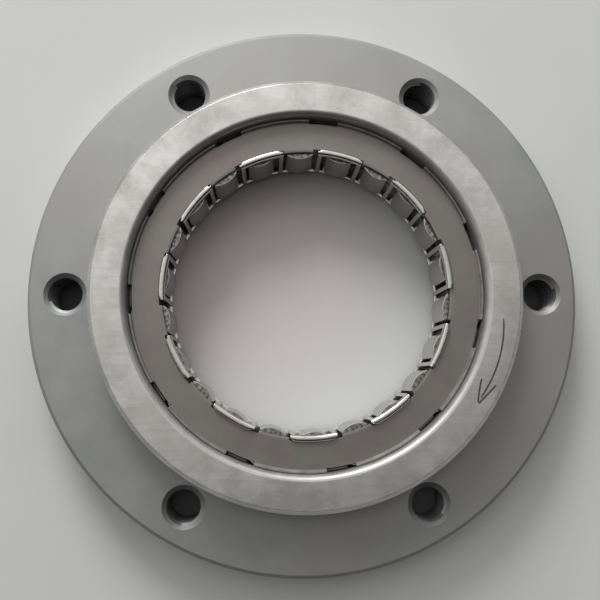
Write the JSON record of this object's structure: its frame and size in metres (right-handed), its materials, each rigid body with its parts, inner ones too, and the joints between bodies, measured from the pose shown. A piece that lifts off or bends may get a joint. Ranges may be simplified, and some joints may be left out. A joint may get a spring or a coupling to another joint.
{
  "type": "starter clutch",
  "caption": "Flanged one-way sprag clutch for a starter drive: bored outer race with tapped flange, two nested sheet cages, a ribbon spring and a ring of tilting sprags.",
  "frame": {"origin": "centre of the mounting face at the back of the flange, on the axis of the clutch", "axes": "+Z along the axis, from the mounting face towards the open face of the ring; +X through one of the six threaded holes"},
  "size_m": [0.118, 0.118, 0.017],
  "materials": {
    "housing_steel": "blasted flange, ground ring face and race",
    "dark_sheet": "dark satin hardened sheet",
    "bright_sheet": "tumbled bright sheet",
    "spring_strip": "rolled spring strip",
    "sprag_steel": "polished bearing steel"
  },
  "bodies": {
    "clutch_body": {"housing": "housing_steel", "outer_cage": "dark_sheet", "ribbon_spring": "spring_strip"},
    "inner_cage": {"inner_cage": "bright_sheet"},
    "sprag_01": {"sprag_01": "sprag_steel"},
    "sprag_02": {"sprag_02": "sprag_steel"},
    "sprag_03": {"sprag_03": "sprag_steel"},
    "sprag_04": {"sprag_04": "sprag_steel"},
    "sprag_05": {"sprag_05": "sprag_steel"},
    "sprag_06": {"sprag_06": "sprag_steel"},
    "sprag_07": {"sprag_07": "sprag_steel"},
    "sprag_08": {"sprag_08": "sprag_steel"},
    "sprag_09": {"sprag_09": "sprag_steel"},
    "sprag_10": {"sprag_10": "sprag_steel"},
    "sprag_11": {"sprag_11": "sprag_steel"},
    "sprag_12": {"sprag_12": "sprag_steel"},
    "sprag_13": {"sprag_13": "sprag_steel"},
    "sprag_14": {"sprag_14": "sprag_steel"},
    "sprag_15": {"sprag_15": "sprag_steel"},
    "sprag_16": {"sprag_16": "sprag_steel"},
    "sprag_17": {"sprag_17": "sprag_steel"},
    "sprag_18": {"sprag_18": "sprag_steel"},
    "sprag_19": {"sprag_19": "sprag_steel"},
    "sprag_20": {"sprag_20": "sprag_steel"},
    "sprag_21": {"sprag_21": "sprag_steel"},
    "sprag_22": {"sprag_22": "sprag_steel"}
  },
  "joints": [
    {"name": "inner_cage_turn", "type": "hinge", "parent": "clutch_body", "child": "inner_cage", "pos_m": [0, 0, 0.0075], "axis": [0, 0, 1], "range_deg": [0, 1.39], "stiffness_Nm_per_rad": 4, "springref_deg": -1.03, "deforming": ["ribbon_spring"]},
    {"name": "sprag_01_tilt", "type": "hinge", "parent": "clutch_body", "child": "sprag_01", "pos_m": [0.03245, 0.00531, 0.00795], "axis": [0, 0, 1], "range_deg": [-16, 0]},
    {"name": "sprag_02_tilt", "type": "hinge", "parent": "clutch_body", "child": "sprag_02", "pos_m": [0.02964, 0.01424, 0.00795], "axis": [0, 0, 1], "range_deg": [-16, 0]},
    {"name": "sprag_03_tilt", "type": "hinge", "parent": "clutch_body", "child": "sprag_03", "pos_m": [0.02442, 0.02201, 0.00795], "axis": [0, 0, 1], "range_deg": [-16, 0]},
    {"name": "sprag_04_tilt", "type": "hinge", "parent": "clutch_body", "child": "sprag_04", "pos_m": [0.01723, 0.028, 0.00795], "axis": [0, 0, 1], "range_deg": [-16, 0]},
    {"name": "sprag_05_tilt", "type": "hinge", "parent": "clutch_body", "child": "sprag_05", "pos_m": [0.00865, 0.03172, 0.00795], "axis": [0, 0, 1], "range_deg": [-16, 0]},
    {"name": "sprag_06_tilt", "type": "hinge", "parent": "clutch_body", "child": "sprag_06", "pos_m": [-0.00064, 0.03287, 0.00795], "axis": [0, 0, 1], "range_deg": [-16, 0]},
    {"name": "sprag_07_tilt", "type": "hinge", "parent": "clutch_body", "child": "sprag_07", "pos_m": [-0.00988, 0.03136, 0.00795], "axis": [0, 0, 1], "range_deg": [-16, 0]},
    {"name": "sprag_08_tilt", "type": "hinge", "parent": "clutch_body", "child": "sprag_08", "pos_m": [-0.01831, 0.02731, 0.00795], "axis": [0, 0, 1], "range_deg": [-16, 0]},
    {"name": "sprag_09_tilt", "type": "hinge", "parent": "clutch_body", "child": "sprag_09", "pos_m": [-0.02526, 0.02104, 0.00795], "axis": [0, 0, 1], "range_deg": [-16, 0]},
    {"name": "sprag_10_tilt", "type": "hinge", "parent": "clutch_body", "child": "sprag_10", "pos_m": [-0.03017, 0.01307, 0.00795], "axis": [0, 0, 1], "range_deg": [-16, 0]},
    {"name": "sprag_11_tilt", "type": "hinge", "parent": "clutch_body", "child": "sprag_11", "pos_m": [-0.03263, 0.00404, 0.00795], "axis": [0, 0, 1], "range_deg": [-16, 0]},
    {"name": "sprag_12_tilt", "type": "hinge", "parent": "clutch_body", "child": "sprag_12", "pos_m": [-0.03245, -0.00531, 0.00795], "axis": [0, 0, 1], "range_deg": [-16, 0]},
    {"name": "sprag_13_tilt", "type": "hinge", "parent": "clutch_body", "child": "sprag_13", "pos_m": [-0.02964, -0.01424, 0.00795], "axis": [0, 0, 1], "range_deg": [-16, 0]},
    {"name": "sprag_14_tilt", "type": "hinge", "parent": "clutch_body", "child": "sprag_14", "pos_m": [-0.02442, -0.02201, 0.00795], "axis": [0, 0, 1], "range_deg": [-16, 0]},
    {"name": "sprag_15_tilt", "type": "hinge", "parent": "clutch_body", "child": "sprag_15", "pos_m": [-0.01723, -0.028, 0.00795], "axis": [0, 0, 1], "range_deg": [-16, 0]},
    {"name": "sprag_16_tilt", "type": "hinge", "parent": "clutch_body", "child": "sprag_16", "pos_m": [-0.00865, -0.03172, 0.00795], "axis": [0, 0, 1], "range_deg": [-16, 0]},
    {"name": "sprag_17_tilt", "type": "hinge", "parent": "clutch_body", "child": "sprag_17", "pos_m": [0.00064, -0.03287, 0.00795], "axis": [0, 0, 1], "range_deg": [-16, 0]},
    {"name": "sprag_18_tilt", "type": "hinge", "parent": "clutch_body", "child": "sprag_18", "pos_m": [0.00988, -0.03136, 0.00795], "axis": [0, 0, 1], "range_deg": [-16, 0]},
    {"name": "sprag_19_tilt", "type": "hinge", "parent": "clutch_body", "child": "sprag_19", "pos_m": [0.01831, -0.02731, 0.00795], "axis": [0, 0, 1], "range_deg": [-16, 0]},
    {"name": "sprag_20_tilt", "type": "hinge", "parent": "clutch_body", "child": "sprag_20", "pos_m": [0.02526, -0.02104, 0.00795], "axis": [0, 0, 1], "range_deg": [-16, 0]},
    {"name": "sprag_21_tilt", "type": "hinge", "parent": "clutch_body", "child": "sprag_21", "pos_m": [0.03017, -0.01307, 0.00795], "axis": [0, 0, 1], "range_deg": [-16, 0]},
    {"name": "sprag_22_tilt", "type": "hinge", "parent": "clutch_body", "child": "sprag_22", "pos_m": [0.03263, -0.00404, 0.00795], "axis": [0, 0, 1], "range_deg": [-16, 0]}
  ],
  "couplings": [
    {"joint": "sprag_01_tilt", "follows": "inner_cage_turn", "ratio": -11.5},
    {"joint": "sprag_02_tilt", "follows": "inner_cage_turn", "ratio": -11.5},
    {"joint": "sprag_03_tilt", "follows": "inner_cage_turn", "ratio": -11.5},
    {"joint": "sprag_04_tilt", "follows": "inner_cage_turn", "ratio": -11.5},
    {"joint": "sprag_05_tilt", "follows": "inner_cage_turn", "ratio": -11.5},
    {"joint": "sprag_06_tilt", "follows": "inner_cage_turn", "ratio": -11.5},
    {"joint": "sprag_07_tilt", "follows": "inner_cage_turn", "ratio": -11.5},
    {"joint": "sprag_08_tilt", "follows": "inner_cage_turn", "ratio": -11.5},
    {"joint": "sprag_09_tilt", "follows": "inner_cage_turn", "ratio": -11.5},
    {"joint": "sprag_10_tilt", "follows": "inner_cage_turn", "ratio": -11.5},
    {"joint": "sprag_11_tilt", "follows": "inner_cage_turn", "ratio": -11.5},
    {"joint": "sprag_12_tilt", "follows": "inner_cage_turn", "ratio": -11.5},
    {"joint": "sprag_13_tilt", "follows": "inner_cage_turn", "ratio": -11.5},
    {"joint": "sprag_14_tilt", "follows": "inner_cage_turn", "ratio": -11.5},
    {"joint": "sprag_15_tilt", "follows": "inner_cage_turn", "ratio": -11.5},
    {"joint": "sprag_16_tilt", "follows": "inner_cage_turn", "ratio": -11.5},
    {"joint": "sprag_17_tilt", "follows": "inner_cage_turn", "ratio": -11.5},
    {"joint": "sprag_18_tilt", "follows": "inner_cage_turn", "ratio": -11.5},
    {"joint": "sprag_19_tilt", "follows": "inner_cage_turn", "ratio": -11.5},
    {"joint": "sprag_20_tilt", "follows": "inner_cage_turn", "ratio": -11.5},
    {"joint": "sprag_21_tilt", "follows": "inner_cage_turn", "ratio": -11.5},
    {"joint": "sprag_22_tilt", "follows": "inner_cage_turn", "ratio": -11.5}
  ]
}
